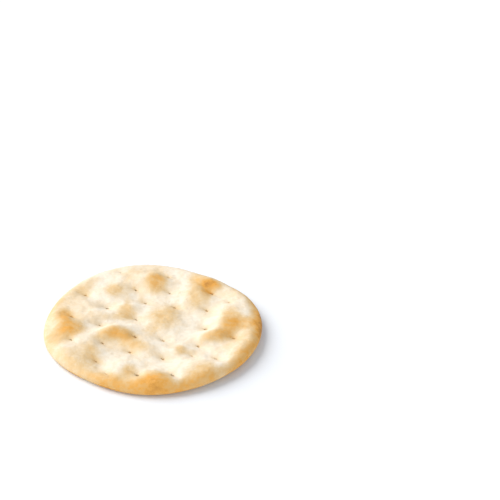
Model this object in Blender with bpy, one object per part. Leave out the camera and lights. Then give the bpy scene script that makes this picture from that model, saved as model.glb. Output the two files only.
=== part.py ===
"""A round water cracker: one thin disc of dough, pricked by a docker, puffed between the pricks and baked.

The origin is under the middle of the cracker, on the surface that it lies on. +Z is up, and +X is to the
right when the cracker is seen from -Y. Sizes below are in millimetres, and the mesh is made in metres.
"""

import math

import bmesh
import bpy
import numpy as np
from mathutils import Vector
from mathutils.geometry import delaunay_2d_cdt

MM = 0.001

# Outline: a circle with a few soft waves round it, each a number of waves, a height and where one crests
MEAN_RADIUS = 30.1
OUTLINE_WAVES = ((1, 0.5, 95), (2, 0.8, -42), (3, 0.38, -11), (4, 0.5, 13), (5, 0.1, -35), (6, 0.12, 25))

# Dough: how high the crust lies where it has not puffed, and how the rim rounds over
SHEET_TOP = 2.75
RIM_MIDDLE = 1.25
TOP_ROLL = 3.3
UNDER_ROLL = 2.0

# Curl of the baked disc: an angle in degrees, how far the rim lifts there and a spread in degrees
RIM_LIFTS = ((0, 0.75, 40), (60, 0.20, 30), (150, 0.25, 35), (285, 0.15, 30), (318, 0.40, 24))
LIFT_POWER = 4

# Underside: faint waves, cut off flat where it lay on the oven band, each a length and a start in radians
UNDER_WAVE_HEIGHT = 0.10
UNDER_WAVES_X = (18.2, 0.7)
UNDER_WAVES_Y = (21.4, 1.9)
SETTLE = 0.14

# Pricks of the docker, row by row from the back: x, y and how wide it stayed open (1 is a full prick)
PRICK_ROWS = (
    ((-10.0, 26.0, 0.5), (3.7, 23.6, 0.7)),
    ((-19.6, 15.4, 0.85), (-5.4, 17.7, 0.85), (4.2, 16.1, 0.8), (16.3, 15.3, 1.0)),
    ((-13.0, 8.9, 0.9), (-2.4, 11.5, 0.8), (5.9, 9.2, 0.75), (15.0, 7.6, 0.85), (21.3, 10.0, 0.5)),
    ((-22.7, 3.6, 0.9), (-14.7, 0.4, 0.7), (-4.7, 3.3, 0.7), (14.8, -1.4, 1.0)),
    ((-22.1, -7.6, 0.6), (-4.6, -5.8, 0.9), (3.1, -6.2, 1.0), (22.7, -6.3, 0.75)),
    ((-13.4, -8.4, 0.85), (-5.7, -11.8, 0.9), (12.9, -9.2, 0.9), (11.3, -14.1, 0.6)),
    ((-14.7, -16.7, 0.9), (3.4, -14.7, 1.0), (17.9, -15.6, 1.1)),
    ((-11.5, -22.8, 0.5), (-3.2, -23.4, 0.9), (6.4, -23.8, 1.0)),
)
PRICKS = tuple(prick for row in PRICK_ROWS for prick in row)

# What a full prick leaves: a pit, a funnel to it, a wide dimple, a dent on the underside, and the direction
# in degrees in which it is drawn out and how far, where 1 is round
PIT_RADIUS = 0.44
PIT_FLOOR_RADIUS = 0.26
PIT_FLOOR_ABOVE_UNDER = 1.10
FUNNEL_DEPTH = 0.85
FUNNEL_SPREAD = 1.00
DIMPLE_DEPTH = 0.45
DIMPLE_SPREAD = 2.2
UNDER_DENT = 0.35
UNDER_DENT_SPREAD = 1.1
PIN_TURN = 145
PIN_STRETCH = 1.40

# Blisters and hollows of the top crust: x, y, half width, half depth, turn in degrees, height
BLISTERS = (
    (0.6, 20.7, 3.3, 3.2, 0, 1.25),
    (-11.7, 16.6, 3.2, 2.5, 10, 0.50),
    (-6.3, 22.6, 4.2, 3.2, 0, 0.75),
    (12.3, 15.0, 3.6, 4.6, 20, 1.10),
    (16.3, 21.0, 3.0, 2.2, -40, 0.75),
    (-7.5, 7.4, 2.6, 2.3, 0, 0.68),
    (-12.9, 4.6, 4.2, 2.2, 15, 0.48),
    (-18.5, 6.0, 3.2, 3.4, 0, 0.55),
    (-9.1, -3.6, 3.5, 2.3, -12, 1.45),
    (-14.3, -5.4, 3.6, 2.2, 25, 1.00),
    (-2.9, -8.8, 4.2, 2.2, -35, 0.85),
    (-23.0, -1.8, 3.4, 4.0, 0, 1.30),
    (-25.7, 4.0, 2.4, 3.4, 20, 0.60),
    (2.8, 3.2, 4.0, 4.2, 15, 0.68),
    (19.1, -2.4, 3.1, 3.0, 20, 1.22),
    (15.9, -5.8, 3.0, 2.0, 20, 0.95),
    (21.6, 4.6, 3.1, 3.8, -10, 1.15),
    (23.9, 12.4, 3.4, 3.6, 0, 0.75),
    (26.9, -1.6, 2.4, 5.0, 0, 0.52),
    (26.1, -10.4, 2.8, 3.8, -15, 0.62),
    (8.2, -11.8, 2.1, 1.9, 0, 0.48),
    (1.7, -25.8, 4.4, 3.2, 0, 1.45),
    (-20.3, -13.2, 5.2, 4.6, 20, 1.22),
    (-6.9, -20.6, 3.4, 3.0, 0, 0.95),
    (13.7, -21.2, 4.9, 3.8, 20, 1.08),
    (24.7, -16.7, 3.3, 3.8, -20, 0.42),
    (-12.3, -25.8, 4.2, 2.2, -12, 0.70),
    (9.9, 0.4, 4.0, 7.0, 0, -0.25),
    (-10.1, -13.2, 4.0, 4.0, 0, -0.15),
    (-0.9, -17.8, 4.2, 2.4, 0, -0.25),
)
BLISTER_SHAPE = 1.35

# Mesh: distance between neighbouring points, how far the rows of points keep from other rings as a share
# of it, and the rings of points along the rim and round each prick, each a radius and a number of points
TOP_SPACING = 1.18
UNDER_SPACING = 1.75
RIM_CLEARANCE = 0.7
PRICK_CLEARANCE = 0.45
RIM_POINTS = 150
TOP_RIM_INSETS = (0.25, 0.8, 1.6, 2.5)
UNDER_RIM_INSETS = (0.35, 1.1, 2.1)
TOP_PRICK_RINGS = ((0.0, 1), (PIT_FLOOR_RADIUS, 6), (PIT_RADIUS, 8), (0.70, 8), (1.20, 10))
UNDER_PRICK_RINGS = ((0.0, 1), (1.1, 6))
KEEP_INSIDE_RIM = 1
MERGE_DISTANCE = 1e-5

CRUST_COLOUR = (0.80, 0.58, 0.33, 1.0)
CRUST_ROUGHNESS = 0.75


def remove_old_objects():
    for old in list(bpy.data.objects):
        bpy.data.objects.remove(old)


def angle_between(angle, other):
    """The difference of two angles in degrees, from -180 to 180."""
    return (angle - other + 180) % 360 - 180


def swells_at(angle, swells):
    """The sum of soft swells round the rim at an angle in degrees."""
    total = np.zeros_like(angle)
    for middle, height, spread in swells:
        total += height * np.exp(-0.5 * (angle_between(angle, middle) / spread) ** 2)
    return total


def outline_radius(angle):
    """The distance from the middle to the rim at an angle in degrees."""
    radius = np.full_like(angle, MEAN_RADIUS)
    for waves, height, crest in OUTLINE_WAVES:
        radius = radius + height * np.cos(np.radians(waves * (angle - crest)))
    return radius


def rim_of(x, y):
    """The angle in degrees, how far inside the rim a point lies, and its share of the radius there."""
    angle = np.degrees(np.arctan2(y, x)) % 360
    radius = outline_radius(angle)
    distance = np.hypot(x, y)
    return angle, radius - distance, distance / radius


def warp(angle, share):
    """How far the baked disc has curled off the flat, most at its rim."""
    return swells_at(angle, RIM_LIFTS) * share**LIFT_POWER


def round_over(inset, width):
    """A quarter round: 0 at the rim, 1 from width inwards."""
    left = 1 - np.clip(inset / width, 0, 1)
    return np.sqrt(np.clip(1 - left**2, 0, 1))


def turned(x, y, degrees):
    """Coordinates of a point along a direction and across it."""
    cosine, sine = math.cos(math.radians(degrees)), math.sin(math.radians(degrees))
    return cosine * x + sine * y, cosine * y - sine * x


def prick_distances(x, y):
    """The size of each prick, and how far from it the points lie, counted along ovals that are drawn out."""
    for px, py, size in PRICKS:
        along, across = turned(x - px, y - py, PIN_TURN)
        yield size, np.hypot(along / PIN_STRETCH, across * PIN_STRETCH)


def prick_sum(x, y, spread, power):
    """Height 1 at each full prick, falling off as a bell curve for a power of 2 and to a point for 1."""
    total = np.zeros_like(x)
    for size, distance in prick_distances(x, y):
        total += size * np.exp(-((distance / spread) ** power) / power)
    return np.minimum(total, 1)


def blister_sum(x, y):
    """The height of all blisters and hollows: steep sides and a rounded top."""
    total = np.zeros_like(x)
    for bx, by, wide, deep, turn, height in BLISTERS:
        along, across = turned(x - bx, y - by, turn)
        share = 0.5 * ((along / wide) ** 2 + (across / deep) ** 2)
        total += height * np.exp(-(share**BLISTER_SHAPE))
    return total


def wave(distance, length, start):
    return np.sin(math.tau * distance / length + start)


def rim_middle(angle):
    """The height of the widest line of the rim."""
    return RIM_MIDDLE + warp(angle, np.ones_like(angle))


def under_height(x, y):
    """The underside: flat where it lay on the oven band, and lifted at the pricks and the rim."""
    angle, inset, share = rim_of(x, y)
    ripple = UNDER_WAVE_HEIGHT * wave(x, *UNDER_WAVES_X) * wave(y, *UNDER_WAVES_Y)
    dents = UNDER_DENT * prick_sum(x, y, UNDER_DENT_SPREAD, 2)
    flat = np.maximum(warp(angle, share) + ripple + dents - SETTLE, 0)
    middle = rim_middle(angle)
    return middle - (middle - flat) * round_over(inset, UNDER_ROLL)


def pit_share(x, y):
    """1 on the floor of a pit, 0 outside its mouth."""
    total = np.zeros_like(x)
    for size, distance in prick_distances(x, y):
        mouth, floor = PIT_RADIUS * size, PIT_FLOOR_RADIUS * size
        total = np.maximum(total, np.clip((mouth - distance) / (mouth - floor), 0, 1))
    return total


def top_height(x, y):
    """The top crust: the sheet, its blisters, the dimples and pits of the pricks, and the rounded rim."""
    angle, inset, share = rim_of(x, y)
    dimples = DIMPLE_DEPTH * prick_sum(x, y, DIMPLE_SPREAD, 2)
    funnels = FUNNEL_DEPTH * prick_sum(x, y, FUNNEL_SPREAD, 1)
    full = SHEET_TOP + warp(angle, share) + blister_sum(x, y) - dimples - funnels
    middle = rim_middle(angle)
    crust = middle + (full - middle) * round_over(inset, TOP_ROLL)
    pit_floor = under_height(x, y) + PIT_FLOOR_ABOVE_UNDER
    return crust - np.maximum(crust - pit_floor, 0) * pit_share(x, y)


def rim_angles():
    return np.arange(RIM_POINTS) * 360 / RIM_POINTS


def rim_ring(inset):
    """Points along the rim, the same distance inside it."""
    angles = rim_angles()
    radii = outline_radius(angles) - inset
    return [
        Vector((r * math.cos(math.radians(a)), r * math.sin(math.radians(a))))
        for a, r in zip(angles, radii)
    ]


def prick_points(rings):
    """Drawn-out rings of points round every prick: radius and number of points of each ring."""
    points = []
    for px, py, size in PRICKS:
        for radius, count in rings:
            for step in range(count):
                angle = math.tau * step / count
                along = radius * size * math.cos(angle) * PIN_STRETCH
                across = radius * size * math.sin(angle) / PIN_STRETCH
                off_x, off_y = turned(along, across, -PIN_TURN)
                points.append(Vector((px + off_x, py + off_y)))
    return points


def lattice_points(spacing, last_inset, ring_radius):
    """Staggered rows of points over the disc, clear of the rim's rings and the pricks' rings."""
    row_step = spacing * math.sqrt(3) / 2
    reach = math.ceil(outline_radius(rim_angles()).max() / row_step)
    rows, columns = np.mgrid[-reach:reach + 1, -reach:reach + 1]
    x = ((columns + 0.5 * (rows % 2)) * spacing).ravel()
    y = (rows * row_step).ravel()
    _, inset, _ = rim_of(x, y)
    keep = inset > last_inset + RIM_CLEARANCE * spacing
    for size, distance in prick_distances(x, y):
        keep &= distance > ring_radius * size + PRICK_CLEARANCE * spacing
    return [Vector(place) for place in zip(x[keep], y[keep])]


def triangulate(points):
    """Triangles over the plan points; the first RIM_POINTS of them are the closed rim."""
    rim_edges = [(step, (step + 1) % RIM_POINTS) for step in range(RIM_POINTS)]
    plan, _, triangles, origins, _, _ = delaunay_2d_cdt(
        points, rim_edges, [], KEEP_INSIDE_RIM, MERGE_DISTANCE
    )
    rim_index = {}
    for index, origin in enumerate(origins):
        for source in origin:
            if source < RIM_POINTS:
                rim_index[index] = source
    return plan, triangles, rim_index


def add_skin(mesh, points, height, rim_vertices, face_up):
    """Adds one skin of the cracker to the mesh, sewn to the shared vertices of the rim."""
    plan, triangles, rim_index = triangulate(points)
    x = np.array([point.x for point in plan])
    y = np.array([point.y for point in plan])
    heights = height(x, y)
    vertices = []
    for index, (px, py, pz) in enumerate(zip(x, y, heights)):
        if index in rim_index:
            vertices.append(rim_vertices[rim_index[index]])
        else:
            vertices.append(mesh.verts.new(Vector((px, py, pz)) * MM))
    for corners in triangles:
        order = corners if face_up else reversed(corners)
        mesh.faces.new([vertices[corner] for corner in order])


def cracker_mesh():
    """The whole cracker as one closed mesh: top skin, underside, and the rim that they share."""
    mesh = bmesh.new()
    rim = rim_ring(0)
    rim_vertices = [
        mesh.verts.new(Vector((point.x, point.y, height)) * MM)
        for point, height in zip(rim, rim_middle(rim_angles()))
    ]
    top = list(rim)
    for inset in TOP_RIM_INSETS:
        top += rim_ring(inset)
    top += prick_points(TOP_PRICK_RINGS)
    top += lattice_points(TOP_SPACING, TOP_RIM_INSETS[-1], TOP_PRICK_RINGS[-1][0])
    under = list(rim)
    for inset in UNDER_RIM_INSETS:
        under += rim_ring(inset)
    under += prick_points(UNDER_PRICK_RINGS)
    under += lattice_points(UNDER_SPACING, UNDER_RIM_INSETS[-1], UNDER_PRICK_RINGS[-1][0])
    add_skin(mesh, top, top_height, rim_vertices, face_up=True)
    add_skin(mesh, under, under_height, rim_vertices, face_up=False)
    return mesh


def centre_on_origin(mesh):
    """Moves the mesh so that the origin is at the middle of its box's base."""
    corners = np.array([vertex.co for vertex in mesh.verts])
    low, high = corners.min(axis=0), corners.max(axis=0)
    middle = Vector(((low[0] + high[0]) / 2, (low[1] + high[1]) / 2, low[2]))
    bmesh.ops.translate(mesh, verts=mesh.verts, vec=-middle)


def crust_material():
    material = bpy.data.materials.new("baked_crust")
    material.use_nodes = True
    shader = material.node_tree.nodes["Principled BSDF"]
    shader.inputs["Base Color"].default_value = CRUST_COLOUR
    shader.inputs["Roughness"].default_value = CRUST_ROUGHNESS
    shader.inputs["Metallic"].default_value = 0.0
    return material


def make_cracker():
    mesh = cracker_mesh()
    centre_on_origin(mesh)
    data = bpy.data.meshes.new("cracker")
    mesh.to_mesh(data)
    mesh.free()
    data.materials.append(crust_material())
    data.shade_smooth()
    cracker = bpy.data.objects.new("cracker", data)
    bpy.context.scene.collection.objects.link(cracker)
    return cracker


remove_old_objects()
make_cracker()
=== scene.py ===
"""A round water cracker: a thin disc of dough, pressed with docker pins, puffed between them and baked.

The crust is made from the same rule as the solid that it stands for, on a much finer mesh. Geometry Nodes
press the docker's pins through it and raise the fine bubbles, and the material browns it by how hot each
place got and paints shade into the pricks and dimples. The tables are in millimetres, and everything that
Blender gets is in metres.
"""

import math

import bpy
import numpy as np
from bpy.props import FloatProperty, FloatVectorProperty, IntProperty, PointerProperty
from mathutils import Matrix, Vector
from mathutils.geometry import delaunay_2d_cdt


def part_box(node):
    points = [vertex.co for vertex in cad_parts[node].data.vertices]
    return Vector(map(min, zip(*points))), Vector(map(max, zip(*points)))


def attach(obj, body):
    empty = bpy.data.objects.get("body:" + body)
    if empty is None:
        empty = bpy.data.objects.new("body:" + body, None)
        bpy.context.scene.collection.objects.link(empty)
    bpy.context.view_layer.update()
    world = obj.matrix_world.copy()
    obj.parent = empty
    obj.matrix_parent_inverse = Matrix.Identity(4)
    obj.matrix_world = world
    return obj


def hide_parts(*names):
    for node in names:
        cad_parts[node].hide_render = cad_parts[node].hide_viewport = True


bl_info = {
    "name": "Water Cracker",
    "version": (1, 0, 0),
    "blender": (4, 5, 0),
    "location": "3D Viewport > Sidebar > Cracker",
    "description": "Bakes a round water cracker and sets a plain studio for it",
    "category": "Add Mesh",
}

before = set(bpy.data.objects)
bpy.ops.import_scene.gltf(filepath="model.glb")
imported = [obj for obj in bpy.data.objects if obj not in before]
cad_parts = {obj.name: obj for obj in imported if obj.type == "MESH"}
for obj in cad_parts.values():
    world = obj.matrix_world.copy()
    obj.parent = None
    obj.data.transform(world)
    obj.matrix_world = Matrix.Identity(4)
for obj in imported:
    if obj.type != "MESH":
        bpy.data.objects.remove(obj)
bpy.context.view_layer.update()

MM = 0.001
NODE = "cracker"
BODY = "root"
SLOT = "baked_crust"

# Outline: a circle with a few soft waves round it, each a number of waves, a height and where one crests
OUTLINE_WAVES = ((1, 0.5, 95), (2, 0.8, -42), (3, 0.38, -11), (4, 0.5, 13), (5, 0.1, -35), (6, 0.12, 25))

# Curl of the baked disc: an angle in degrees, how far the rim lifts there and a spread in degrees
RIM_LIFTS = ((0, 0.75, 40), (60, 0.20, 30), (150, 0.25, 35), (285, 0.15, 30), (318, 0.40, 24))
LIFT_POWER = 4

# Underside: faint waves, cut off flat where it lay on the oven band, each a length and a start in radians
UNDER_WAVE_HEIGHT = 0.10
UNDER_WAVES_X = (18.2, 0.7)
UNDER_WAVES_Y = (21.4, 1.9)
SETTLE = 0.14

# Pricks of the docker, row by row from the back: x, y and how wide it stayed open (1 is a full prick)
PRICK_ROWS = (
    ((-10.0, 26.0, 0.5), (3.7, 23.6, 0.7)),
    ((-19.6, 15.4, 0.85), (-5.4, 17.7, 0.85), (4.2, 16.1, 0.8), (16.3, 15.3, 1.0)),
    ((-13.0, 8.9, 0.9), (-2.4, 11.5, 0.8), (5.9, 9.2, 0.75), (15.0, 7.6, 0.85), (21.3, 10.0, 0.5)),
    ((-22.7, 3.6, 0.9), (-14.7, 0.4, 0.7), (-4.7, 3.3, 0.7), (14.8, -1.4, 1.0)),
    ((-22.1, -7.6, 0.6), (-4.6, -5.8, 0.9), (3.1, -6.2, 1.0), (22.7, -6.3, 0.75)),
    ((-13.4, -8.4, 0.85), (-5.7, -11.8, 0.9), (12.9, -9.2, 0.9), (11.3, -14.1, 0.6)),
    ((-14.7, -16.7, 0.9), (3.4, -14.7, 1.0), (17.9, -15.6, 1.1)),
    ((-11.5, -22.8, 0.5), (-3.2, -23.4, 0.9), (6.4, -23.8, 1.0)),
)
PRICKS = tuple(prick for row in PRICK_ROWS for prick in row)

# Blisters and hollows of the top crust: x, y, half width, half depth, turn in degrees, height
BLISTERS = (
    (0.6, 20.7, 3.3, 3.2, 0, 1.25),
    (-11.7, 16.6, 3.2, 2.5, 10, 0.50),
    (-6.3, 22.6, 4.2, 3.2, 0, 0.75),
    (12.3, 15.0, 3.6, 4.6, 20, 1.10),
    (16.3, 21.0, 3.0, 2.2, -40, 0.75),
    (-7.5, 7.4, 2.6, 2.3, 0, 0.68),
    (-12.9, 4.6, 4.2, 2.2, 15, 0.48),
    (-18.5, 6.0, 3.2, 3.4, 0, 0.55),
    (-9.1, -3.6, 3.5, 2.3, -12, 1.45),
    (-14.3, -5.4, 3.6, 2.2, 25, 1.00),
    (-2.9, -8.8, 4.2, 2.2, -35, 0.85),
    (-23.0, -1.8, 3.4, 4.0, 0, 1.30),
    (-25.7, 4.0, 2.4, 3.4, 20, 0.60),
    (2.8, 3.2, 4.0, 4.2, 15, 0.68),
    (19.1, -2.4, 3.1, 3.0, 20, 1.22),
    (15.9, -5.8, 3.0, 2.0, 20, 0.95),
    (21.6, 4.6, 3.1, 3.8, -10, 1.15),
    (23.9, 12.4, 3.4, 3.6, 0, 0.75),
    (26.9, -1.6, 2.4, 5.0, 0, 0.52),
    (26.1, -10.4, 2.8, 3.8, -15, 0.62),
    (8.2, -11.8, 2.1, 1.9, 0, 0.48),
    (1.7, -25.8, 4.4, 3.2, 0, 1.45),
    (-20.3, -13.2, 5.2, 4.6, 20, 1.22),
    (-6.9, -20.6, 3.4, 3.0, 0, 0.95),
    (13.7, -21.2, 4.9, 3.8, 20, 1.08),
    (24.7, -16.7, 3.3, 3.8, -20, 0.42),
    (-12.3, -25.8, 4.2, 2.2, -12, 0.70),
    (9.9, 0.4, 4.0, 7.0, 0, -0.25),
    (-10.1, -13.2, 4.0, 4.0, 0, -0.15),
    (-0.9, -17.8, 4.2, 2.4, 0, -0.25),
)

# How steep the sides of a blister and of a browned spot are
BLISTER_SHAPE = 1.35

# Where the top browned, with a few spots of painted shade and of painted light among them: x, y, half width,
# half depth, turn in degrees, and how brown (below 0 is paler)
TOAST_AND_PAINTED_LIGHT_SPOTS = (
    (0.4, 20.4, 2.1, 3.4, 0, 0.78),
    (-11.4, 16.6, 2.1, 2.2, 0, 0.45),
    # Painted shade: greyish tan on the back dome
    (-6.4, 22.6, 2.4, 4.6, 0, 0.20),
    (-1.5, 27.4, 3.6, 1.8, 0, 0.14),
    (-20.6, 17.2, 1.8, 3.2, -25, 0.26),
    (-17.6, 22.0, 1.6, 1.6, 0, 0.16),
    (-20.6, 9.0, 3.6, 3.0, 0, 0.18),
    (12.8, 21.0, 1.9, 3.0, 30, 0.48),
    (16.6, 18.9, 1.8, 1.2, -38, 1.02),
    (15.0, 16.2, 1.2, 2.6, 0, 0.56),
    (12.4, 13.6, 2.5, 4.4, 0, 0.40),
    (-7.6, 5.8, 2.0, 2.3, 0, 0.48),
    (-7.6, 11.2, 0.8, 2.4, 0, 0.22),
    (-11.8, 3.4, 3.6, 1.0, 0, 0.20),
    (-3.6, 12.8, 1.0, 1.6, 0, 0.12),
    (-9.2, -4.9, 2.8, 1.9, -8, 0.50),
    (-12.6, -5.9, 2.6, 1.5, 15, 0.38),
    (-6.0, -7.6, 2.4, 1.7, -35, 0.42),
    (-2.4, -10.4, 2.6, 1.3, -25, 0.22),
    (-24.8, 3.2, 1.6, 2.4, 0, 0.76),
    (-22.3, -2.7, 2.5, 2.7, 0, 0.76),
    (-25.6, -5.8, 2.6, 3.4, -30, 0.28),
    (3.2, 3.0, 3.2, 3.8, 10, 0.46),
    (5.6, 8.2, 1.8, 2.0, 0, 0.16),
    (-17.5, 3.0, 3.5, 2.0, 0, 0.12),
    (-9.0, -10.6, 3.4, 2.0, 0, 0.13),
    (-0.6, -2.4, 1.8, 2.0, 0, 0.22),
    (21.8, 1.8, 1.9, 3.6, 0, 0.55),
    (26.2, -0.4, 3.6, 2.2, 0, 0.55),
    (20.6, -4.0, 1.8, 2.0, 0, 0.58),
    (17.4, -6.6, 2.8, 1.5, 10, 0.55),
    (8.1, -11.9, 1.1, 1.5, 0, 0.50),
    (11.0, -12.6, 1.3, 0.9, 0, 0.22),
    (1.5, -26.4, 2.8, 2.7, 0, 0.74),
    (-5.5, -21.8, 1.5, 2.0, 0, 0.42),
    # Painted shade: greyish tan on the right flank of the front left blister, which faces away from the key
    # light
    (-16.5, -11.8, 1.4, 4.0, 10, 0.24),
    (-18.2, -15.4, 4.0, 3.4, -40, 0.24),
    (-10.8, -20.6, 2.4, 1.8, -20, -0.10),
    (14.6, -22.4, 3.4, 2.8, 20, 0.36),
    # Painted light: a paler patch where a lit notch lies right of the front blister
    (7.6, -25.6, 1.0, 1.8, 0, -0.36),
    # Painted light: a paler patch on the front right rim, where a lit notch lies against the shade of its
    # rounding
    (19.8, -20.0, 1.9, 3.2, -20, -0.36),
    (24.4, -7.0, 2.6, 3.2, 0, 0.20),
    (22.6, 14.6, 3.0, 3.0, 0, 0.18),
    (-0.9, -12.4, 3.0, 2.4, 0, 0.10),
    (-19.0, -7.0, 2.2, 1.6, 0, -0.15),
    (-3.4, 0.6, 2.2, 1.4, 0, -0.12),
    (20.7, -11.5, 2.2, 2.6, 0, 0.15),
)

# How brown the rim is: an angle in degrees, its browning, a spread in degrees and how far in it reaches
RIM_TOASTS = (
    (268, 0.68, 20, 3.7),
    (244, 0.42, 12, 3.3),
    (212, 0.17, 14, 3.5),
    (172, 0.26, 24, 4.5),
    (158, 0.16, 13, 3.0),
    (296, 0.48, 15, 2.6),
    (326, 0.88, 11, 3.0),
    (355, 0.92, 11, 2.1),
    (10, 0.68, 13, 2.4),
    (35, 0.75, 12, 0.9),
    (55, 0.55, 9, 1.4),
    (90, 0.14, 18, 2.4),
)

# Browning: what each feature adds to it, and how much of the rim's own a browned spot hides. The pits and
# funnels of the pricks add painted shade, the bubbles and the oven band real browning
BROWNING_AND_PRICK_SHADE_SHARES = (("bubble", 0.04), ("pit", 0.20), ("funnel", 0.30), ("band", 0.55))
SPOT_HIDES_RIM = 0.5

# How high the underside lies over the oven band where it browns fully, and where not at all
BAND_BROWN = -0.10
BAND_PALE = 0.02

# Noise values that count as lowest and highest, for browned and floury patches, and the painted shade that a
# dimple takes off
PATCH_RANGE = (0.38, 0.62)
FLOURY_RANGE = (0.30, 0.62)
DIMPLE_PAINTED_SHADE = 0.12

# Surface: roughness of pale and of brown crust, its sheen, and the bump that the grain and the wrinkles give
PALE_ROUGHNESS = 0.85
BROWN_ROUGHNESS = 0.62
SHEEN = 0.15
GRAIN_SHARE = 0.4
BUMP_STRENGTH = 0.55
BUMP_HEIGHT = 0.08

# Mesh of the crust: distance between neighbouring points, and rings of points along the rim and each prick
TOP_SPACING = 0.24
UNDER_SPACING = 0.45
RIM_POINTS = 720
TOP_RIM_RINGS = 18
UNDER_RIM_RINGS = 12
RING_CLEARANCE = 0.6
PRICK_RING_POINTS = 24
PRICK_RINGS = (0.10, 0.20, 0.29, 0.35, 0.41, 0.47, 0.53, 0.61, 0.71, 0.84, 1.00, 1.20)

# Mode of the triangulation that keeps what is inside the rim, and how near two points count as one
KEEP_INSIDE_RIM = 1
MERGE_DISTANCE = 1e-5

# A crust that is lower than this got no height from its node trees
LEAST_HEIGHT = 1


class CrackerDough(bpy.types.PropertyGroup):
    """Sizes of the baked dough."""

    mean_radius: FloatProperty(
        name="Mean Radius", description="Radius of the cracker without its waves",
        default=0.0301, min=0.02, max=0.05, unit="LENGTH", subtype="DISTANCE", precision=5,
    )
    sheet_top: FloatProperty(
        name="Sheet Top", description="How high the top crust lies where it has not puffed",
        default=0.00275, min=0.001, unit="LENGTH", subtype="DISTANCE", precision=5,
    )
    rim_middle: FloatProperty(
        name="Rim Middle", description="Height of the widest line of the rim",
        default=0.00125, min=0.0005, unit="LENGTH", subtype="DISTANCE", precision=5,
    )
    top_roll: FloatProperty(
        name="Top Roll", description="Width over which the top crust rounds down to the rim",
        default=0.0033, min=0.0005, unit="LENGTH", subtype="DISTANCE", precision=5,
    )
    under_roll: FloatProperty(
        name="Under Roll", description="Width over which the underside rounds up to the rim",
        default=0.0020, min=0.0005, unit="LENGTH", subtype="DISTANCE", precision=5,
    )


class CrackerDocker(bpy.types.PropertyGroup):
    """Sizes of what the docker's pins leave in the crust."""

    dimple_depth: FloatProperty(
        name="Dimple Depth", description="How far the crust is held down round a pin",
        default=0.00045, min=0, unit="LENGTH", subtype="DISTANCE", precision=5,
    )
    dimple_spread: FloatProperty(
        name="Dimple Spread", description="How far from a pin the crust is held down",
        default=0.0022, min=0.0005, unit="LENGTH", subtype="DISTANCE", precision=5,
    )
    funnel_depth: FloatProperty(
        name="Funnel Depth", description="How deep the funnel at a pin is",
        default=0.00085, min=0, unit="LENGTH", subtype="DISTANCE", precision=5,
    )
    funnel_spread: FloatProperty(
        name="Funnel Spread", description="How wide the funnel at a pin is",
        default=0.00100, min=0.0002, unit="LENGTH", subtype="DISTANCE", precision=5,
    )
    pit_radius: FloatProperty(
        name="Pit Radius", description="Radius of a pit at its mouth",
        default=0.00044, min=0.0001, unit="LENGTH", subtype="DISTANCE", precision=5,
    )
    pit_floor_radius: FloatProperty(
        name="Pit Floor Radius", description="Radius of a pit at its floor",
        default=0.00026, min=0.00005, unit="LENGTH", subtype="DISTANCE", precision=5,
    )
    pin_turn: FloatProperty(
        name="Pin Turn", description="Direction in which a prick is drawn out, from the right to the back",
        default=math.radians(145), subtype="ANGLE",
    )
    pin_stretch: FloatProperty(
        name="Pin Stretch", description="How far a prick is drawn out: 1 is round",
        default=1.40, min=1, max=2,
    )
    pit_floor_height: FloatProperty(
        name="Pit Floor Height", description="Thickness of the crust that is left under a pit",
        default=0.00110, min=0, unit="LENGTH", subtype="DISTANCE", precision=5,
    )
    dent_depth: FloatProperty(
        name="Dent Depth", description="How far the underside is lifted under a pin",
        default=0.00035, min=0, unit="LENGTH", subtype="DISTANCE", precision=5,
    )
    dent_spread: FloatProperty(
        name="Dent Spread", description="How wide the dent under a pin is",
        default=0.0011, min=0.0002, unit="LENGTH", subtype="DISTANCE", precision=5,
    )


class CrackerBubbles(bpy.types.PropertyGroup):
    """Sizes of the fine bubbles and lumps of the top crust."""

    bubble_spacing: FloatProperty(
        name="Bubble Spacing", description="Least distance between two fine bubbles",
        default=0.0019, min=0.0005, unit="LENGTH", subtype="DISTANCE", precision=5,
    )
    smallest_bubble: FloatProperty(
        name="Smallest Bubble", description="Radius of the smallest fine bubble",
        default=0.00045, min=0.0001, unit="LENGTH", subtype="DISTANCE", precision=5,
    )
    largest_bubble: FloatProperty(
        name="Largest Bubble", description="Radius of the largest fine bubble",
        default=0.00095, min=0.0001, unit="LENGTH", subtype="DISTANCE", precision=5,
    )
    bubble_height: FloatProperty(
        name="Bubble Height", description="Height of the tallest fine bubble",
        default=0.00007, min=0, unit="LENGTH", subtype="DISTANCE", precision=6,
    )
    lump_size: FloatProperty(
        name="Lump Size", description="Distance between the soft lumps of the crust",
        default=0.0034, min=0.0005, unit="LENGTH", subtype="DISTANCE", precision=5,
    )
    lump_height: FloatProperty(
        name="Lump Height", description="Height of the soft lumps of the crust",
        default=0.00034, min=0, unit="LENGTH", subtype="DISTANCE", precision=6,
    )
    seed: IntProperty(
        name="Seed", description="Which draw of bubbles and lumps is taken",
        default=7, min=0,
    )


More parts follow.
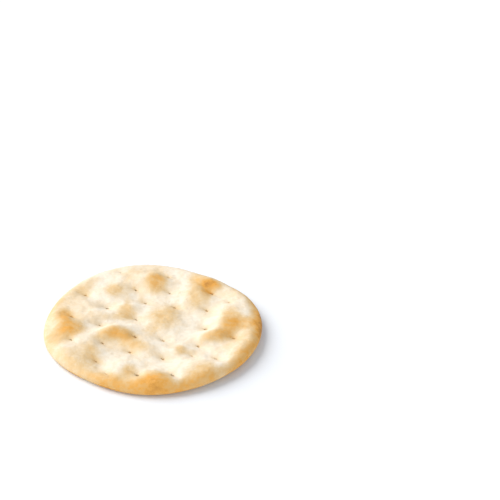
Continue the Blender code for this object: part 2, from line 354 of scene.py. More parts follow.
class CrackerColours(bpy.types.PropertyGroup):
    """Colours of the crust, from hardly baked to scorched."""

    floury: FloatVectorProperty(
        name="Floury Crust", description="The palest patches, warm white",
        default=(0.81, 0.73, 0.605), min=0, max=1, size=3, subtype="COLOR",
    )
    pale: FloatVectorProperty(
        name="Pale Crust", description="Crust that took hardly any colour in the oven",
        default=(0.765, 0.64, 0.475), min=0, max=1, size=3, subtype="COLOR",
    )
    golden: FloatVectorProperty(
        name="Golden Crust", description="Crust that began to colour",
        default=(0.70, 0.515, 0.29), min=0, max=1, size=3, subtype="COLOR",
    )
    toasted: FloatVectorProperty(
        name="Toasted Crust", description="Browned tops of the blisters",
        default=(0.675, 0.40, 0.142), min=0, max=1, size=3, subtype="COLOR",
    )
    brown: FloatVectorProperty(
        name="Brown Crust", description="Well browned crust of the rim",
        default=(0.70, 0.345, 0.072), min=0, max=1, size=3, subtype="COLOR",
    )
    scorched: FloatVectorProperty(
        name="Scorched Crust", description="The darkest spots",
        default=(0.50, 0.225, 0.05), min=0, max=1, size=3, subtype="COLOR",
    )


class CrackerStage(bpy.types.PropertyGroup):
    """The studio: floor, lights and camera."""

    floor_size: FloatProperty(
        name="Floor Size", description="Side of the square floor",
        default=12.0, min=0.5, unit="LENGTH", subtype="DISTANCE",
    )
    floor_colour: FloatVectorProperty(
        name="Floor Colour", description="Colour of the floor",
        default=(0.83, 0.85, 0.88), min=0, max=1, size=3, subtype="COLOR",
    )
    key_strength: FloatProperty(
        name="Key Light", description="Strength of the soft light from the back left",
        default=4.16, min=0,
    )
    key_colour: FloatVectorProperty(
        name="Key Colour", description="Colour of the key light, faintly warm",
        default=(1.0, 0.96, 0.92), min=0, max=1, size=3, subtype="COLOR",
    )
    key_height: FloatProperty(
        name="Key Height", description="Angle of the key light above the floor",
        default=math.radians(33), subtype="ANGLE",
    )
    key_bearing: FloatProperty(
        name="Key Bearing", description="Direction of the key light, from the right to the back",
        default=math.radians(153), subtype="ANGLE",
    )
    key_softness: FloatProperty(
        name="Key Softness", description="How wide the key light looks from the cracker",
        default=math.radians(66), subtype="ANGLE",
    )
    fill_strength: FloatProperty(
        name="Fill Light", description="Strength of the soft light from the front",
        default=1.40, min=0,
    )
    fill_height: FloatProperty(
        name="Fill Height", description="Angle of the fill light above the floor",
        default=math.radians(16), subtype="ANGLE",
    )
    fill_bearing: FloatProperty(
        name="Fill Bearing", description="Direction of the fill light, from the right to the back",
        default=math.radians(-68), subtype="ANGLE",
    )
    fill_softness: FloatProperty(
        name="Fill Softness", description="How wide the fill light looks from the cracker",
        default=math.radians(40), subtype="ANGLE",
    )
    sky_strength: FloatProperty(
        name="Sky", description="Strength of the even light from all sides",
        default=0.515, min=0,
    )
    sky_colour: FloatVectorProperty(
        name="Sky Colour", description="Colour of the even light from all sides, faintly cool",
        default=(0.85, 0.92, 1.0), min=0, max=1, size=3, subtype="COLOR",
    )
    camera_place: FloatVectorProperty(
        name="Camera Place", description="Where the camera stands",
        default=(0.0270, -0.4735, 0.3398), size=3, unit="LENGTH", subtype="TRANSLATION",
    )
    camera_tilt: FloatProperty(
        name="Camera Tilt", description="How far the camera looks down",
        default=math.radians(33.43), subtype="ANGLE",
    )
    camera_lens: FloatProperty(
        name="Lens", description="Focal length in millimetres on a 36 mm sensor",
        default=150.0, min=10,
    )


class Wiring:
    """Adds nodes to a tree and joins them. A value is a number, a colour or another node's output."""

    def __init__(self, tree):
        self.tree = tree

    def feed(self, socket, value):
        if isinstance(value, bpy.types.NodeSocket):
            self.tree.links.new(value, socket)
        else:
            socket.default_value = value

    def node(self, kind, inputs=None, **settings):
        made = self.tree.nodes.new(kind)
        for name, value in settings.items():
            setattr(made, name, value)
        for name, value in (inputs or {}).items():
            self.feed(made.inputs[name], value)
        return made

    def group(self, tree, inputs):
        return self.node("ShaderNodeGroup", inputs, node_tree=tree).outputs[0]

    def math(self, operation, *values, clamp=False):
        made = self.node("ShaderNodeMath", operation=operation, use_clamp=clamp)
        for socket, value in zip(made.inputs, values):
            self.feed(socket, value)
        return made.outputs[0]

    def vector(self, operation, *values):
        made = self.node("ShaderNodeVectorMath", operation=operation)
        for socket, value in zip(made.inputs, values):
            self.feed(socket, value)
        wanted = "Value" if operation in ("LENGTH", "DISTANCE", "DOT_PRODUCT") else "Vector"
        return made.outputs[wanted]

    def scaled(self, vector, factor):
        made = self.node("ShaderNodeVectorMath", {"Vector": vector, "Scale": factor}, operation="SCALE")
        return made.outputs["Vector"]

    def mapped(self, value, low, high, to_low=0.0, to_high=1.0):
        made = self.node(
            "ShaderNodeMapRange",
            {"Value": value, "From Min": low, "From Max": high, "To Min": to_low, "To Max": to_high},
            interpolation_type="SMOOTHSTEP",
        )
        return made.outputs["Result"]

    def mixed(self, factor, first, second):
        """A mix of two colours. Its sockets go by number, as a Mix node has the same names for each type."""
        made = self.node("ShaderNodeMix", data_type="RGBA")
        self.feed(made.inputs["Factor"], factor)
        self.feed(made.inputs[6], first)
        self.feed(made.inputs[7], second)
        return made.outputs[2]

    def noise(self, position, size, detail=2.0, roughness=0.5, distortion=0.0):
        """Noise whose lumps are about as far apart as size, from 0 to 1."""
        made = self.node(
            "ShaderNodeTexNoise",
            {
                "Vector": position,
                "Scale": self.math("DIVIDE", 1.0, size),
                "Detail": detail,
                "Roughness": roughness,
                "Distortion": distortion,
            },
        )
        return made.outputs[0]


def new_tree(name, kind, inputs, outputs):
    """A node group, its wiring and its input sockets. An input is a name, a type and a default or None."""
    tree = bpy.data.node_groups.new(name, kind)
    for label, socket_type, value in inputs:
        socket = tree.interface.new_socket(label, in_out="INPUT", socket_type=socket_type)
        if value is not None:
            socket.default_value = value
    for label, socket_type in outputs:
        tree.interface.new_socket(label, in_out="OUTPUT", socket_type=socket_type)
    wires = Wiring(tree)
    return tree, wires, wires.node("NodeGroupInput").outputs


def angle_between(angle, other):
    """The difference of two angles in degrees, from -180 to 180."""
    return (angle - other + 180) % 360 - 180


def swells_at(angle, swells):
    """The sum of soft swells round the rim at an angle in degrees."""
    total = np.zeros_like(angle)
    for middle, height, spread in swells:
        total += height * np.exp(-0.5 * (angle_between(angle, middle) / spread) ** 2)
    return total


def outline_radius(dough, angle):
    """The distance from the middle to the rim at an angle in degrees."""
    radius = np.full_like(angle, dough.mean_radius)
    for waves, height, crest in OUTLINE_WAVES:
        radius += height * MM * np.cos(np.radians(waves * (angle - crest)))
    return radius


def round_over(inset, width):
    """A quarter round: 0 at the rim, 1 from width inwards."""
    left = 1 - np.clip(inset / width, 0, 1)
    return np.sqrt(np.clip(1 - left**2, 0, 1))


def spot_sum(x, y, spots):
    """The sum of soft oval spots, with steep sides and a rounded top."""
    total = np.zeros_like(x)
    for spot_x, spot_y, wide, deep, turn, height in spots:
        cosine, sine = math.cos(math.radians(turn)), math.sin(math.radians(turn))
        off_x, off_y = x - spot_x * MM, y - spot_y * MM
        along = (cosine * off_x + sine * off_y) / (wide * MM)
        across = (cosine * off_y - sine * off_x) / (deep * MM)
        total += height * np.exp(-((0.5 * (along**2 + across**2)) ** BLISTER_SHAPE))
    return total


def wave(distance, length, start):
    """A wave of height 1 along a distance."""
    return np.sin(math.tau * distance / (length * MM) + start)


def rim_angles():
    return np.arange(RIM_POINTS) * 360 / RIM_POINTS


def rim_ring(dough, inset):
    """Points along the rim, the same distance inside it."""
    angles = np.radians(rim_angles())
    radii = outline_radius(dough, rim_angles()) - inset
    return np.column_stack([radii * np.cos(angles), radii * np.sin(angles)])


def rim_rings(dough, width, count):
    """Rings of points from the rim inwards, at even steps round the quarter of its rounding."""
    steps = np.arange(count + 1) / count * math.pi / 2
    return [rim_ring(dough, width * (1 - math.cos(step))) for step in steps]


def prick_rings(docker):
    """Rings of points round the pit of every prick, drawn out as the prick is."""
    turns = np.arange(PRICK_RING_POINTS) * math.tau / PRICK_RING_POINTS
    along = np.cos(turns) * docker.pin_stretch
    across = np.sin(turns) / docker.pin_stretch
    cosine, sine = math.cos(docker.pin_turn), math.sin(docker.pin_turn)
    oval = np.column_stack([cosine * along - sine * across, sine * along + cosine * across])
    rings = []
    for prick_x, prick_y, size in PRICKS:
        middle = np.array([[prick_x * MM, prick_y * MM]])
        rings += [middle] + [middle + oval * radius * size * MM for radius in PRICK_RINGS]
    return rings


def lattice(dough, spacing, inset, ring_radius):
    """Staggered rows of points over the disc, clear of the rings along the rim and the pricks."""
    row_step = spacing * math.sqrt(3) / 2
    reach = math.ceil(outline_radius(dough, rim_angles()).max() / row_step)
    rows, columns = np.mgrid[-reach:reach + 1, -reach:reach + 1]
    x = ((columns + 0.5 * (rows % 2)) * spacing).ravel()
    y = (rows * row_step).ravel()
    angle = np.degrees(np.arctan2(y, x)) % 360
    keep = outline_radius(dough, angle) - np.hypot(x, y) > inset + RING_CLEARANCE * spacing
    for prick_x, prick_y, size in PRICKS:
        distance = np.hypot(x - prick_x * MM, y - prick_y * MM)
        keep &= distance > ring_radius * size + RING_CLEARANCE * spacing
    return np.column_stack([x[keep], y[keep]])


def triangulated(points):
    """Triangles over points in plan, the first RIM_POINTS of which are the closed rim."""
    rim_edges = [(step, (step + 1) % RIM_POINTS) for step in range(RIM_POINTS)]
    corners = [Vector(point) for point in (points / MM).tolist()]
    plan, _, triangles, origins, _, _ = delaunay_2d_cdt(
        corners, rim_edges, [], KEEP_INSIDE_RIM, MERGE_DISTANCE
    )
    source = np.array([origin[0] for origin in origins])
    return np.array(plan) * MM, np.array(triangles), source


def dough_mesh(dough, docker):
    """The baked disc in plan: two skins that share the rim."""
    top_rings = rim_rings(dough, dough.top_roll, TOP_RIM_RINGS)
    under_rings = rim_rings(dough, dough.under_roll, UNDER_RIM_RINGS)
    top_rows = lattice(dough, TOP_SPACING * MM, dough.top_roll, PRICK_RINGS[-1] * docker.pin_stretch * MM)
    under_rows = lattice(dough, UNDER_SPACING * MM, dough.under_roll, 0)
    top_plan, top_faces, top_source = triangulated(np.vstack(top_rings + prick_rings(docker) + [top_rows]))
    under_plan, under_faces, under_source = triangulated(np.vstack(under_rings + [under_rows]))

    rim_place = np.zeros(RIM_POINTS, int)
    on_rim = top_source < RIM_POINTS
    rim_place[top_source[on_rim]] = np.flatnonzero(on_rim)
    inner = under_source >= RIM_POINTS
    place = np.zeros(len(under_plan), int)
    place[inner] = len(top_plan) + np.arange(inner.sum())
    place[~inner] = rim_place[under_source[~inner]]

    plan = np.vstack([top_plan, under_plan[inner]])
    faces = np.vstack([top_faces, place[under_faces][:, ::-1]])
    top_side = np.arange(len(plan)) < len(top_plan)
    return plan, faces, top_side


def baked_values(dough, plan, top_side):
    """The height of each point before its pins, and what the node trees and the material read there."""
    x, y = plan.T
    angle = np.degrees(np.arctan2(y, x)) % 360
    radius = outline_radius(dough, angle)
    distance = np.hypot(x, y)
    inset = np.maximum(radius - distance, 0)
    lift = swells_at(angle, RIM_LIFTS) * MM
    warp = lift * (distance / radius) ** LIFT_POWER
    middle = dough.rim_middle + lift
    ripple = UNDER_WAVE_HEIGHT * MM * wave(x, *UNDER_WAVES_X) * wave(y, *UNDER_WAVES_Y)
    top_round = round_over(inset, dough.top_roll)
    full = dough.sheet_top + warp + spot_sum(x, y, BLISTERS) * MM
    return {
        "height": middle + (full - middle) * top_round,
        "rim_middle": middle,
        "top_round": top_round,
        "under_round": round_over(inset, dough.under_roll),
        "under_rise": warp + ripple - SETTLE * MM,
        "top_side": top_side.astype(float),
        "toast": toast_at(x, y, angle, inset, top_side),
    }


def toast_at(x, y, angle, inset, top_side):
    """How brown the crust is: 0 is pale, 1 brown, and more is scorched. A few of its spots are painted shade
    and painted light.
    """
    spots = np.where(top_side, spot_sum(x, y, TOAST_AND_PAINTED_LIGHT_SPOTS), 0)
    rim = np.zeros_like(x)
    for middle, browning, spread, reach in RIM_TOASTS:
        rim += swells_at(angle, [(middle, browning, spread)]) * np.exp(-((inset / (reach * MM)) ** 2))
    return spots + rim * (1 - SPOT_HIDES_RIM * np.clip(spots, 0, 1))


def link_object(name, mesh):
    made = bpy.data.objects.new(name, mesh)
    bpy.context.scene.collection.objects.link(made)
    return made


def store(mesh, name, values):
    """Keeps one number for each point of the mesh."""
    attribute = mesh.attributes.new(name, "FLOAT", "POINT")
    attribute.data.foreach_set("value", np.asarray(values, np.float32))


def dough_object(dough, docker):
    """The baked disc before its pins, with what the node trees and the material read on each point."""
    plan, faces, top_side = dough_mesh(dough, docker)
    values = baked_values(dough, plan, top_side)
    heights = values.pop("height")
    mesh = bpy.data.meshes.new("cracker_crust")
    mesh.from_pydata(np.column_stack([plan, heights]).tolist(), [], faces.tolist())
    mesh.shade_smooth()
    for name, numbers in values.items():
        store(mesh, name, numbers)
    return link_object("cracker_crust", mesh)


def pins_object():
    """One point for each pin of the docker, with how wide its prick stayed open."""
    mesh = bpy.data.meshes.new("docker_pins")
    mesh.from_pydata([(x * MM, y * MM, 0) for x, y, _ in PRICKS], [], [])
    store(mesh, "size", [size for _, _, size in PRICKS])
    return link_object("docker_pins", mesh)


def named(wires, name):
    """Reads a number that is kept on each point."""
    made = wires.node("GeometryNodeInputNamedAttribute", {"Name": name}, data_type="FLOAT")
    return made.outputs["Attribute"]


def sampled(wires, geometry, data_type, value, index):
    """Reads a value at one point of another geometry."""
    made = wires.node(
        "GeometryNodeSampleIndex",
        {"Geometry": geometry, "Index": index, "Value": value},
        data_type=data_type, domain="POINT",
    )
    return made.outputs["Value"]


def kept(wires, geometry, name, value):
    """Stores a number on each point under a name."""
    made = wires.node(
        "GeometryNodeStoreNamedAttribute",
        {"Geometry": geometry, "Name": name, "Value": value},
        data_type="FLOAT", domain="POINT",
    )
    return made.outputs["Geometry"]


def fading(wires, distance, spread, power, size):
    """size at no distance, falling off as a bell curve for a power of 2 and to a point for 1."""
    share = wires.math("POWER", wires.math("DIVIDE", distance, spread), power)
    return wires.math("MULTIPLY", wires.math("EXPONENT", wires.math("DIVIDE", share, -power)), size)


def finish_tree(wires, geometry, material):
    """Every tree ends as plain mesh with its material."""
    realized = wires.node("GeometryNodeRealizeInstances", {"Geometry": geometry}).outputs["Geometry"]
    coated = wires.node("GeometryNodeSetMaterial", {"Geometry": realized, "Material": material})
    wires.node("NodeGroupOutput", {"Geometry": coated.outputs["Geometry"]})


def docker_tree():
    """Presses a pin through the crust at every point of the pins' mesh."""
    lengths = (
        "Dimple Depth", "Dimple Spread", "Funnel Depth", "Funnel Spread", "Pit Radius",
        "Pit Floor Radius", "Pit Floor Height", "Dent Depth", "Dent Spread",
    )
    tree, wires, given = new_tree(
        "Docker Pricks", "GeometryNodeTree",
        [("Geometry", "NodeSocketGeometry", None), ("Pins", "NodeSocketObject", None)]
        + [(name, "NodeSocketFloat", MM) for name in lengths]
        + [("Pin Turn", "NodeSocketFloat", 0.0), ("Pin Stretch", "NodeSocketFloat", 1.0)]
        + [("Material", "NodeSocketMaterial", None)],
        [("Geometry", "NodeSocketGeometry")],
    )
    pins = wires.node("GeometryNodeObjectInfo", {"Object": given["Pins"]}).outputs["Geometry"]
    counted = wires.node("GeometryNodeAttributeDomainSize", {"Geometry": pins}, component="MESH")
    place = wires.node("GeometryNodeInputPosition").outputs["Position"]
    in_plan = wires.vector("MULTIPLY", place, (1, 1, 0))

    start = wires.node("GeometryNodeRepeatInput")
    end = wires.node("GeometryNodeRepeatOutput")
    start.pair_with_output(end)
    end.repeat_items.clear()
    sums = ("Dimples", "Funnels", "Dents", "Pit")
    for name in sums:
        end.repeat_items.new("FLOAT", name)
    wires.feed(start.inputs["Iterations"], counted.outputs["Point Count"])
    for name in sums:
        wires.feed(start.inputs[name], 0.0)
    turn = start.outputs["Iteration"]
    pin = sampled(wires, pins, "FLOAT_VECTOR", place, turn)
    size = sampled(wires, pins, "FLOAT", named(wires, "size"), turn)
    away = wires.vector("SUBTRACT", in_plan, pin)
    back_turn = wires.math("MULTIPLY", given["Pin Turn"], -1.0)
    turned = wires.node(
        "ShaderNodeVectorRotate", {"Vector": away, "Angle": back_turn}, rotation_type="Z_AXIS"
    )
    stretch = given["Pin Stretch"]
    squeeze = wires.node("ShaderNodeCombineXYZ", {"X": wires.math("DIVIDE", 1.0, stretch), "Y": stretch})
    distance = wires.vector(
        "LENGTH", wires.vector("MULTIPLY", turned.outputs["Vector"], squeeze.outputs["Vector"])
    )
    forms = (("Dimples", "Dimple Spread", 2), ("Funnels", "Funnel Spread", 1), ("Dents", "Dent Spread", 2))
    for name, spread, power in forms:
        bump = fading(wires, distance, given[spread], power, size)
        wires.feed(end.inputs[name], wires.math("ADD", start.outputs[name], bump))
    mouth = wires.math("MULTIPLY", given["Pit Radius"], size)
    floor = wires.math("MULTIPLY", given["Pit Floor Radius"], size)
    into_pit = wires.math(
        "DIVIDE", wires.math("SUBTRACT", mouth, distance), wires.math("SUBTRACT", mouth, floor), clamp=True
    )
    wires.feed(end.inputs["Pit"], wires.math("MAXIMUM", start.outputs["Pit"], into_pit))

    dimples, funnels, dents = (wires.math("MINIMUM", end.outputs[name], 1.0) for name, _, _ in forms)
    pressed = wires.math(
        "ADD",
        wires.math("MULTIPLY", dimples, given["Dimple Depth"]),
        wires.math("MULTIPLY", funnels, given["Funnel Depth"]),
    )
    middle = named(wires, "rim_middle")
    rise = wires.math("ADD", named(wires, "under_rise"), wires.math("MULTIPLY", dents, given["Dent Depth"]))
    below_middle = wires.math("SUBTRACT", middle, wires.math("MAXIMUM", rise, 0.0))
    under = wires.math(
        "SUBTRACT", middle, wires.math("MULTIPLY", below_middle, named(wires, "under_round"))
    )
    height = wires.node("ShaderNodeSeparateXYZ", {"Vector": place}).outputs["Z"]
    crust = wires.math("SUBTRACT", height, wires.math("MULTIPLY", pressed, named(wires, "top_round")))
    over_floor = wires.math("SUBTRACT", crust, wires.math("ADD", under, given["Pit Floor Height"]))
    fall = wires.math("MULTIPLY", wires.math("MAXIMUM", over_floor, 0.0), end.outputs["Pit"])
    top = wires.math("SUBTRACT", crust, fall)
    top_side = named(wires, "top_side")
    under_side = wires.math("SUBTRACT", 1.0, top_side)
    final = wires.math(
        "ADD", wires.math("MULTIPLY", top, top_side), wires.math("MULTIPLY", under, under_side)
    )
    lifted = wires.node("ShaderNodeCombineXYZ", {"Z": final}).outputs["Vector"]
    marked = given["Geometry"]
    for name, form in (("pit", end.outputs["Pit"]), ("dimple", dimples), ("funnel", funnels)):
        marked = kept(wires, marked, name, wires.math("MULTIPLY", form, top_side))
    touching = wires.mapped(rise, BAND_BROWN * MM, BAND_PALE * MM, 1.0, 0.0)
    marked = kept(wires, marked, "band", wires.math("MULTIPLY", touching, under_side))
    moved = wires.node(
        "GeometryNodeSetPosition", {"Geometry": marked, "Position": wires.vector("ADD", in_plan, lifted)}
    )
    finish_tree(wires, moved.outputs["Geometry"], given["Material"])
    return tree


def bubble_tree():
    """Raises fine bubbles at random points of the top crust, and soft lumps between them."""
    lengths = (
        "Bubble Spacing", "Smallest Bubble", "Largest Bubble", "Bubble Height", "Lump Size", "Lump Height",
    )
    tree, wires, given = new_tree(
        "Oven Bubbles", "GeometryNodeTree",
        [("Geometry", "NodeSocketGeometry", None)]
        + [(name, "NodeSocketFloat", MM) for name in lengths]
        + [("Seed", "NodeSocketInt", 0), ("Material", "NodeSocketMaterial", None)],
        [("Geometry", "NodeSocketGeometry")],
    )
    place = wires.node("GeometryNodeInputPosition").outputs["Position"]
    upper_crust = wires.math("MULTIPLY", named(wires, "top_side"), named(wires, "top_round"))
    beside_pits = wires.math("SUBTRACT", 1.0, named(wires, "pit"))
    open_crust = wires.math("MULTIPLY", upper_crust, beside_pits, clamp=True)
    spacing = given["Bubble Spacing"]
    scatter = wires.node(
        "GeometryNodeDistributePointsOnFaces",
        {
            "Mesh": given["Geometry"],
            "Distance Min": spacing,
            "Density Max": wires.math("DIVIDE", 1.0, wires.math("MULTIPLY", spacing, spacing)),
            "Density Factor": open_crust,
            "Seed": given["Seed"],
        },
        distribute_method="POISSON",
    )
    sizes = wires.node("FunctionNodeRandomValue", {"Seed": given["Seed"]}, data_type="FLOAT")
    wires.feed(sizes.inputs[2], given["Smallest Bubble"])
    wires.feed(sizes.inputs[3], given["Largest Bubble"])
    points = kept(wires, scatter.outputs["Points"], "bubble_radius", sizes.outputs[1])
    nearest = wires.node(
        "GeometryNodeSampleNearest", {"Geometry": points, "Sample Position": place}, domain="POINT"
    )
    centre = sampled(wires, points, "FLOAT_VECTOR", place, nearest.outputs["Index"])
    radius = sampled(wires, points, "FLOAT", named(wires, "bubble_radius"), nearest.outputs["Index"])
    share = wires.math("DIVIDE", wires.vector("DISTANCE", place, centre), radius)
    dome = wires.math("SUBTRACT", 1.0, wires.math("MULTIPLY", share, share), clamp=True)
    dome = wires.math("MULTIPLY", wires.math("MULTIPLY", dome, dome), open_crust)
    fullness = wires.math("DIVIDE", radius, given["Largest Bubble"])
    tall = wires.math("MULTIPLY", fullness, given["Bubble Height"])
    lump_scale = wires.math("DIVIDE", 1.0, given["Lump Size"])
    noise = wires.node(
        "ShaderNodeTexNoise",
        {"Vector": place, "W": given["Seed"], "Scale": lump_scale, "Detail": 3.0},
        noise_dimensions="4D",
    )
    swing = wires.math("MULTIPLY", given["Lump Height"], 2.0)
    lumps = wires.math("MULTIPLY", wires.math("SUBTRACT", noise.outputs[0], 0.5), swing)
    lift = wires.math("ADD", wires.math("MULTIPLY", dome, tall), wires.math("MULTIPLY", lumps, open_crust))
    normal = wires.node("GeometryNodeInputNormal").outputs["Normal"]
    marked = kept(wires, given["Geometry"], "bubble", dome)
    moved = wires.node("GeometryNodeSetPosition", {"Geometry": marked, "Offset": wires.scaled(normal, lift)})
    finish_tree(wires, moved.outputs["Geometry"], given["Material"])
    return tree


def settings_of(group):
    """The values of a property group, by the names of the sockets that they feed."""
    return {name.replace("_", " ").title(): getattr(group, name) for name in type(group).__annotations__}


def add_tree(piece, tree, values):
    """Adds a node tree as a modifier and sets its inputs by their identifiers."""
    modifier = piece.modifiers.new(tree.name, "NODES")
    modifier.node_group = tree
    for item in tree.interface.items_tree:
        if item.in_out == "INPUT" and item.name in values:
            modifier[item.identifier] = values[item.name]


def make_plain(piece):
    """Turns a piece with modifiers into the plain mesh that they give."""
    bpy.context.view_layer.update()
    graph = bpy.context.evaluated_depsgraph_get()
    baked = piece.evaluated_get(graph)
    mesh = bpy.data.meshes.new_from_object(baked, preserve_all_data_layers=True, depsgraph=graph)
    piece.modifiers.clear()
    piece.data = mesh


def base_middle(low, high):
    """The middle of a box's base."""
    return Vector(((low[0] + high[0]) / 2, (low[1] + high[1]) / 2, low[2]))


def fit_to_cad(piece):
    """Centres the piece as the solid is, and keeps it inside the solid's box."""
    count = len(piece.data.vertices)
    corners = np.empty(count * 3)
    piece.data.vertices.foreach_get("co", corners)
    corners = corners.reshape(-1, 3)
    low, high = corners.min(axis=0), corners.max(axis=0)
    if high[2] - low[2] < LEAST_HEIGHT * MM:
        raise RuntimeError("the crust came out flat: its node trees gave no height")
    cad_low, cad_high = (np.array(corner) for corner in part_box(NODE))
    shrink = Matrix.Diagonal((*np.minimum((cad_high - cad_low) / (high - low), 1), 1))
    to_origin = Matrix.Translation(-base_middle(low, high))
    to_cad = Matrix.Translation(base_middle(cad_low, cad_high))
    piece.data.transform(to_cad @ shrink @ to_origin)


def toast_breakup_group():
    """Breaks the edges of browned places up into patches and flecks."""
    group, wires, given = new_tree(
        "Toast Breakup", "ShaderNodeTree",
        (
            ("Position", "NodeSocketVector", None),
            ("Toast", "NodeSocketFloat", 0.0),
            ("Patch Size", "NodeSocketFloat", 2.3 * MM),
            ("Patch Strength", "NodeSocketFloat", 0.36),
            ("Fleck Size", "NodeSocketFloat", 0.6 * MM),
            ("Fleck Strength", "NodeSocketFloat", 0.20),
        ),
        (("Toast", "NodeSocketFloat"),),
    )
    patches = wires.noise(given["Position"], given["Patch Size"], detail=5.0, roughness=0.68)
    patches = wires.mapped(patches, *PATCH_RANGE, -0.5, 0.5)
    patches = wires.math("MULTIPLY", patches, given["Patch Strength"])
    flecks = wires.noise(given["Position"], given["Fleck Size"], detail=3.0, roughness=0.65)
    flecks = wires.math("MULTIPLY", wires.math("SUBTRACT", flecks, 0.5), given["Fleck Strength"])
    grown = wires.math("MULTIPLY", given["Toast"], wires.math("ADD", 1.0, patches))
    wires.node("NodeGroupOutput", {"Toast": wires.math("ADD", grown, flecks)})
    return group


def crust_colour_group():
    """Colour of the crust by how brown it is, from floury through golden and brown to scorched."""
    stops = (("Golden", 0.05, 0.36), ("Toasted", 0.36, 0.72), ("Brown", 0.72, 1.0), ("Scorched", 1.0, 1.45))
    names = ["Floury", "Pale"] + [name for name, _, _ in stops]
    group, wires, given = new_tree(
        "Crust Colour", "ShaderNodeTree",
        [("Toast", "NodeSocketFloat", 0.0), ("Paleness", "NodeSocketFloat", 0.0)]
        + [(name, "NodeSocketColor", None) for name in names],
        [("Color", "NodeSocketColor")],
    )
    colour = wires.mixed(given["Paleness"], given["Pale"], given["Floury"])
    for name, low, high in stops:
        reached = wires.math("DIVIDE", wires.math("SUBTRACT", given["Toast"], low), high - low, clamp=True)
        colour = wires.mixed(reached, colour, given[name])
    wires.node("NodeGroupOutput", {"Color": colour})
    return group


def pale_patches_and_painted_shade_group():
    """Where the crust is floury rather than pale: random patches, less floury in the dimples as painted
    shade.
    """
    group, wires, given = new_tree(
        "Pale Patches", "ShaderNodeTree",
        [
            ("Position", "NodeSocketVector", None),
            ("Dimple", "NodeSocketFloat", 0.0),
            ("Patch Size", "NodeSocketFloat", 3.4 * MM),
        ],
        [("Paleness", "NodeSocketFloat")],
    )
    patches = wires.noise(given["Position"], given["Patch Size"], detail=5.0, roughness=0.66, distortion=0.3)
    # Painted shade: the dimples take some paleness off the floury patches
    patches_less_painted_shade = wires.math("SUBTRACT", patches, wires.math("MULTIPLY", given["Dimple"], DIMPLE_PAINTED_SHADE))
    wires.node("NodeGroupOutput", {"Paleness": wires.mapped(patches_less_painted_shade, *FLOURY_RANGE)})
    return group


def crumb_grain_group():
    """Height of the fine grain and the pores of a baked crust."""
    group, wires, given = new_tree(
        "Crumb Grain", "ShaderNodeTree",
        (
            ("Position", "NodeSocketVector", None),
            ("Grain Size", "NodeSocketFloat", 0.35 * MM),
            ("Wrinkle Size", "NodeSocketFloat", 1.3 * MM),
        ),
        (("Height", "NodeSocketFloat"),),
    )
    grain = wires.noise(given["Position"], given["Grain Size"], detail=3.0, roughness=0.6)
    wrinkles = wires.noise(given["Position"], given["Wrinkle Size"], detail=2.0, distortion=0.6)
    height = wires.math("ADD", wires.math("MULTIPLY", grain, GRAIN_SHARE), wrinkles)
    wires.node("NodeGroupOutput", {"Height": height})
    return group


def crust_material(colours):
    material = bpy.data.materials.new(SLOT)
    material.use_nodes = True
    material.node_tree.nodes.clear()
    wires = Wiring(material.node_tree)
    place = wires.node("ShaderNodeTexCoord").outputs["Object"]
    reads = {
        name: wires.node("ShaderNodeAttribute", attribute_name=name).outputs["Fac"]
        for name in ("toast", "pit", "funnel", "dimple", "bubble", "band")
    }
    toast = reads["toast"]
    # The pits and funnels darken the crust as painted shade in the pricks
    for name, share in BROWNING_AND_PRICK_SHADE_SHARES:
        toast = wires.math("ADD", toast, wires.math("MULTIPLY", reads[name], share))
    toast = wires.group(toast_breakup_group(), {"Position": place, "Toast": toast})
    # Paleness carries the painted shade of the dimples
    paleness = wires.group(pale_patches_and_painted_shade_group(), {"Position": place, "Dimple": reads["dimple"]})
    palette = {name: (*colour, 1) for name, colour in settings_of(colours).items()}
    colour = wires.group(crust_colour_group(), {"Toast": toast, "Paleness": paleness, **palette})
    height = wires.group(crumb_grain_group(), {"Position": place})
    bump = wires.node(
        "ShaderNodeBump", {"Height": height, "Strength": BUMP_STRENGTH, "Distance": BUMP_HEIGHT * MM}
    )
    roughness = wires.mapped(toast, 0.0, 1.0, PALE_ROUGHNESS, BROWN_ROUGHNESS)
    look = {"Base Color": colour, "Roughness": roughness, "Specular IOR Level": SHEEN}
    shader = wires.node("ShaderNodeBsdfPrincipled", {**look, "Normal": bump.outputs["Normal"]})
    wires.node("ShaderNodeOutputMaterial", {"Surface": shader.outputs["BSDF"]})
    return material


def plain_material(name, colour):
    material = bpy.data.materials.new(name)
    material.use_nodes = True
    shader = material.node_tree.nodes["Principled BSDF"]
    shader.inputs["Base Color"].default_value = (*colour, 1)
    shader.inputs["Roughness"].default_value = 1.0
    shader.inputs["Specular IOR Level"].default_value = 0.0
    return material


class CRACKER_OT_bake_crust(bpy.types.Operator):
    """Bake the crust: rolls the dough, presses the docker's pins, raises the bubbles, browns it and paints
    shade into its pricks and dimples
    """

    bl_idname = "cracker.bake_crust"
    bl_label = "Bake Crust"

    def execute(self, context):
        scene = context.scene
        docker, bubbles = scene.cracker_docker, scene.cracker_bubbles
        material = crust_material(scene.cracker_colours)
        crust = dough_object(scene.cracker_dough, docker)
        pins = pins_object()
        add_tree(crust, docker_tree(), {**settings_of(docker), "Pins": pins, "Material": material})
        add_tree(crust, bubble_tree(), {**settings_of(bubbles), "Material": material})
        make_plain(crust)
        bpy.data.objects.remove(pins)
        fit_to_cad(crust)
        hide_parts(NODE)
        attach(crust, BODY)
        return {"FINISHED"}


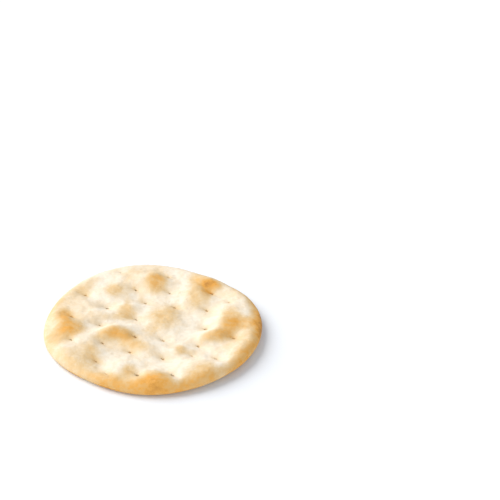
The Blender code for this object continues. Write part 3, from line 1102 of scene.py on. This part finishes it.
class CRACKER_OT_set_stage(bpy.types.Operator):
    """Set the stage: a plain pale floor, soft studio light and the camera"""

    bl_idname = "cracker.set_stage"
    bl_label = "Set Stage"

    def execute(self, context):
        scene = context.scene
        stage = scene.cracker_stage
        self.add_floor(stage)
        self.add_light(stage, "key", stage.key_colour)
        self.add_light(stage, "fill", (1, 1, 1))
        self.add_sky(scene, stage)
        self.add_camera(scene, stage)
        scene.view_settings.view_transform = "Standard"
        return {"FINISHED"}

    def add_floor(self, stage):
        half = stage.floor_size / 2
        mesh = bpy.data.meshes.new("floor")
        corners = [(-half, -half, 0), (half, -half, 0), (half, half, 0), (-half, half, 0)]
        mesh.from_pydata(corners, [], [(0, 1, 2, 3)])
        mesh.materials.append(plain_material("white_table", stage.floor_colour))
        link_object("floor", mesh)

    def add_light(self, stage, name, colour):
        """A far, wide light with the stage's settings of that name."""
        strength, height, bearing, softness = (
            getattr(stage, f"{name}_{setting}") for setting in ("strength", "height", "bearing", "softness")
        )
        light = bpy.data.lights.new(name, "SUN")
        light.energy = strength
        light.color = colour
        light.angle = softness
        level = math.cos(height)
        towards = Vector((level * math.cos(bearing), level * math.sin(bearing), math.sin(height)))
        link_object(name, light).rotation_euler = towards.to_track_quat("Z", "Y").to_euler()

    def add_sky(self, scene, stage):
        """An even, faintly cool dome, which the camera sees as pure white."""
        world = bpy.data.worlds.new("studio")
        world.use_nodes = True
        world.node_tree.nodes.clear()
        wires = Wiring(world.node_tree)
        seen = wires.node("ShaderNodeLightPath").outputs["Is Camera Ray"]
        strength = wires.mapped(seen, 0.0, 1.0, stage.sky_strength, 1.0)
        colour = wires.mixed(seen, (*stage.sky_colour, 1), (1, 1, 1, 1))
        sky = wires.node("ShaderNodeBackground", {"Color": colour, "Strength": strength})
        wires.node("ShaderNodeOutputWorld", {"Surface": sky.outputs["Background"]})
        scene.world = world

    def add_camera(self, scene, stage):
        data = bpy.data.cameras.new("camera")
        data.lens = stage.camera_lens
        camera = link_object("camera", data)
        camera.location = stage.camera_place
        camera.rotation_euler = (math.pi / 2 - stage.camera_tilt, 0, 0)
        scene.camera = camera


class CRACKER_PT_sidebar(bpy.types.Panel):
    """Lists the steps and their sizes and colours"""

    bl_idname = "CRACKER_PT_sidebar"
    bl_label = "Water Cracker"
    bl_space_type = "VIEW_3D"
    bl_region_type = "UI"
    bl_category = "Cracker"

    def draw(self, context):
        scene = context.scene
        for operator, groups in STEPS:
            box = self.layout.box()
            box.operator(operator.bl_idname)
            for group in groups:
                settings = getattr(scene, group)
                for name in type(settings).__annotations__:
                    box.prop(settings, name)


STEPS = (
    (CRACKER_OT_bake_crust, ("cracker_dough", "cracker_docker", "cracker_bubbles", "cracker_colours")),
    (CRACKER_OT_set_stage, ("cracker_stage",)),
)
SETTINGS = {
    "cracker_dough": CrackerDough,
    "cracker_docker": CrackerDocker,
    "cracker_bubbles": CrackerBubbles,
    "cracker_colours": CrackerColours,
    "cracker_stage": CrackerStage,
}
CLASSES = (*SETTINGS.values(), *(operator for operator, _ in STEPS), CRACKER_PT_sidebar)


def register():
    for made in CLASSES:
        bpy.utils.register_class(made)
    for name, group in SETTINGS.items():
        setattr(bpy.types.Scene, name, PointerProperty(type=group))


def unregister():
    for name in SETTINGS:
        delattr(bpy.types.Scene, name)
    for made in reversed(CLASSES):
        bpy.utils.unregister_class(made)


def main():
    register()
    bpy.ops.cracker.bake_crust()
    bpy.ops.cracker.set_stage()


if __name__ == "__main__":
    main()
